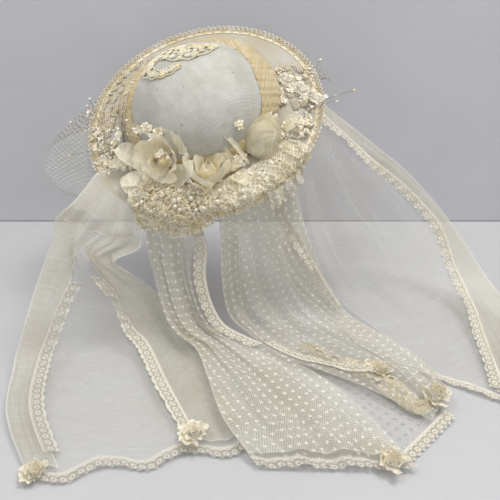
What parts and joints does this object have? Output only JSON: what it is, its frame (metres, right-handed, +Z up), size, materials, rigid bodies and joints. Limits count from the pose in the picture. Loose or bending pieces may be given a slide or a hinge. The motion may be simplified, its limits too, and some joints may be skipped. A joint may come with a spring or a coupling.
{
  "type": "bridal hat",
  "caption": "Bridal picture hat with a domed crown, round brim, organza roses, pearl sprays, net poufs, a face veil and long lace edged veil panels.",
  "frame": {"origin": "middle of the round head opening, in the plane where the crown meets the brim", "axes": "+Z up, +Y the way the wearer faces, +X the wearer's right; the hat is tipped back about 35 degrees and down 12 degrees to the wearer's left"},
  "size_m": [0.6178, 0.507, 0.3357],
  "materials": {
    "satin_white": "woven silvery white satin",
    "satin_ivory": "ivory satin",
    "lace": "ivory lace",
    "gold_gauze": "gathered golden ivory gauze",
    "organza": "sheer cream organza",
    "net": "sheer cream net",
    "pearl": "polished pearl on wire"
  },
  "bodies": {
    "root": {"crown": "satin_white", "brim": "satin_ivory", "rim_braid": "lace", "crown_band": "gold_gauze", "crown_lace": "lace", "brim_lace_left": "lace", "brim_lace_right": "lace", "rose_left": "organza", "rose_middle": "organza", "rose_bud": "organza", "leaf_upper": "organza", "leaf_lower": "organza", "leaf_rolled": "organza", "spray_left": "pearl", "spray_crown": "pearl", "spray_right": "pearl", "pouf_left": "net", "pouf_right": "net", "face_veil": "net", "veil_plain_left": "organza", "veil_plain_right": "organza", "veil_dotted_left": "net", "veil_dotted_right": "net", "lace_hem_plain_left": "lace", "lace_hem_plain_right": "lace", "lace_hem_dotted_left": "lace", "lace_hem_dotted_right": "lace"}
  },
  "joints": []
}
